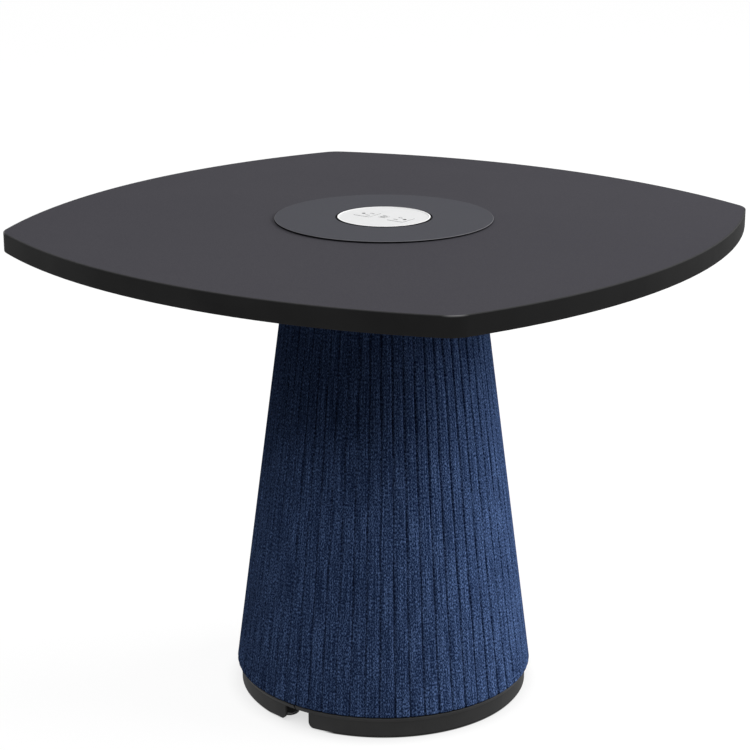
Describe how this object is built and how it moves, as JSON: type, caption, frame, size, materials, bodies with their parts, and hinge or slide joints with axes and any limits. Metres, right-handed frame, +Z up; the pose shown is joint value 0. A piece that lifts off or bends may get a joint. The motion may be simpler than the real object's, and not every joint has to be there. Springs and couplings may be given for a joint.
{
  "type": "cafe table",
  "caption": "Cafe table: a bowed square black top on a navy upholstered cone with a black plinth on levelling glides, and a round lift-off cover with a power unit.",
  "frame": {"origin": "on the floor, under the middle of the pedestal", "axes": "+Z up; -Y towards the cable notch in the plinth; X along the line of the two outlets"},
  "size_m": [0.9684, 0.9684, 0.7407],
  "materials": {
    "black_edge": "satin black edge band",
    "black_laminate": "matt black laminate",
    "fibreboard": "raw fibreboard",
    "backer_laminate": "matt black backing sheet",
    "zinc_steel": "zinc plated",
    "black_steel": "black powder coat",
    "black_rubber": "matt",
    "plinth_black": "satin black",
    "plywood": "raw plywood",
    "navy_fabric": "ribbed navy upholstery cloth",
    "cover_black": "fine textured black powder coat",
    "black_plastic": "moulded",
    "white_plastic": "satin white",
    "contact_brass": "bright",
    "spring_steel": "bright",
    "green_board": "solder mask",
    "glide_black": "gloss black"
  },
  "bodies": {
    "frame": {"top_edge_band": "black_edge", "top_laminate": "black_laminate", "top_core": "fibreboard", "top_backer": "backer_laminate", "top_bolts": "zinc_steel", "column_bolts": "zinc_steel", "skirt_screws": "zinc_steel", "foot_rib_screws": "zinc_steel", "head_rib_screws": "zinc_steel", "glide_nuts": "zinc_steel", "column_tube": "black_steel", "head_flange": "black_steel", "foot_flange": "black_steel", "base_plate": "black_steel", "cable_grommet": "black_rubber", "plinth_skirt": "plinth_black", "plinth_trim": "plinth_black", "shell_panel": "plywood", "foot_rib": "plywood", "head_rib": "plywood", "fabric_cover": "navy_fabric"},
    "cover": {"cover_disc": "cover_black", "cover_carrier": "black_plastic", "lock_ring": "black_plastic", "power_face": "white_plastic", "power_case": "black_plastic", "case_floor": "black_plastic", "case_screws": "zinc_steel", "usb_insert": "white_plastic", "usb_tongues": "spring_steel", "charger_board": "green_board", "board_screws": "zinc_steel", "lead_inlet": "black_plastic", "inlet_pins": "contact_brass", "outlet_shell_left": "white_plastic", "outlet_core_left": "black_plastic", "outlet_contacts_left": "contact_brass", "shutter_spring_left": "spring_steel", "outlet_shell_right": "white_plastic", "outlet_core_right": "black_plastic", "outlet_contacts_right": "contact_brass", "shutter_spring_right": "spring_steel"},
    "shutter_left": {"outlet_shutter_left": "white_plastic"},
    "shutter_right": {"outlet_shutter_right": "white_plastic"},
    "foot_1": {"glide_foot_1": "glide_black"},
    "stud_1": {"glide_stud_1": "zinc_steel"},
    "foot_2": {"glide_foot_2": "glide_black"},
    "stud_2": {"glide_stud_2": "zinc_steel"},
    "foot_3": {"glide_foot_3": "glide_black"},
    "stud_3": {"glide_stud_3": "zinc_steel"},
    "foot_4": {"glide_foot_4": "glide_black"},
    "stud_4": {"glide_stud_4": "zinc_steel"}
  },
  "joints": [
    {"name": "cover_lift", "type": "slide", "parent": "frame", "child": "cover", "axis": [0, 0, 1], "range_m": [0, 0.09]},
    {"name": "shutter_left_slide", "type": "slide", "parent": "cover", "child": "shutter_left", "axis": [0, -1, 0], "range_m": [0, 0.0032], "stiffness_N_per_m": 150, "springref_m": -0.001, "deforming": ["shutter_spring_left"]},
    {"name": "shutter_right_slide", "type": "slide", "parent": "cover", "child": "shutter_right", "axis": [0, 1, 0], "range_m": [0, 0.0032], "stiffness_N_per_m": 150, "springref_m": -0.001, "deforming": ["shutter_spring_right"]},
    {"name": "foot_1_slide", "type": "slide", "parent": "frame", "child": "foot_1", "axis": [0, 0, -1], "range_m": [0, 0.012]},
    {"name": "stud_1_turn", "type": "hinge", "parent": "foot_1", "child": "stud_1", "pos_m": [-0.03807, -0.19227, 0.03], "axis": [0, 0, -1], "range_deg": [0, 2880]},
    {"name": "foot_2_slide", "type": "slide", "parent": "frame", "child": "foot_2", "axis": [0, 0, -1], "range_m": [0, 0.012]},
    {"name": "stud_2_turn", "type": "hinge", "parent": "foot_2", "child": "stud_2", "pos_m": [0.19227, -0.03807, 0.03], "axis": [0, 0, -1], "range_deg": [0, 2880]},
    {"name": "foot_3_slide", "type": "slide", "parent": "frame", "child": "foot_3", "axis": [0, 0, -1], "range_m": [0, 0.012]},
    {"name": "stud_3_turn", "type": "hinge", "parent": "foot_3", "child": "stud_3", "pos_m": [0.03807, 0.19227, 0.03], "axis": [0, 0, -1], "range_deg": [0, 2880]},
    {"name": "foot_4_slide", "type": "slide", "parent": "frame", "child": "foot_4", "axis": [0, 0, -1], "range_m": [0, 0.012]},
    {"name": "stud_4_turn", "type": "hinge", "parent": "foot_4", "child": "stud_4", "pos_m": [-0.19227, 0.03807, 0.03], "axis": [0, 0, -1], "range_deg": [0, 2880]}
  ],
  "couplings": [
    {"joint": "stud_1_turn", "follows": "foot_1_slide", "rad_per_m": 4188.8},
    {"joint": "stud_2_turn", "follows": "foot_2_slide", "rad_per_m": 4188.8},
    {"joint": "stud_3_turn", "follows": "foot_3_slide", "rad_per_m": 4188.8},
    {"joint": "stud_4_turn", "follows": "foot_4_slide", "rad_per_m": 4188.8}
  ]
}
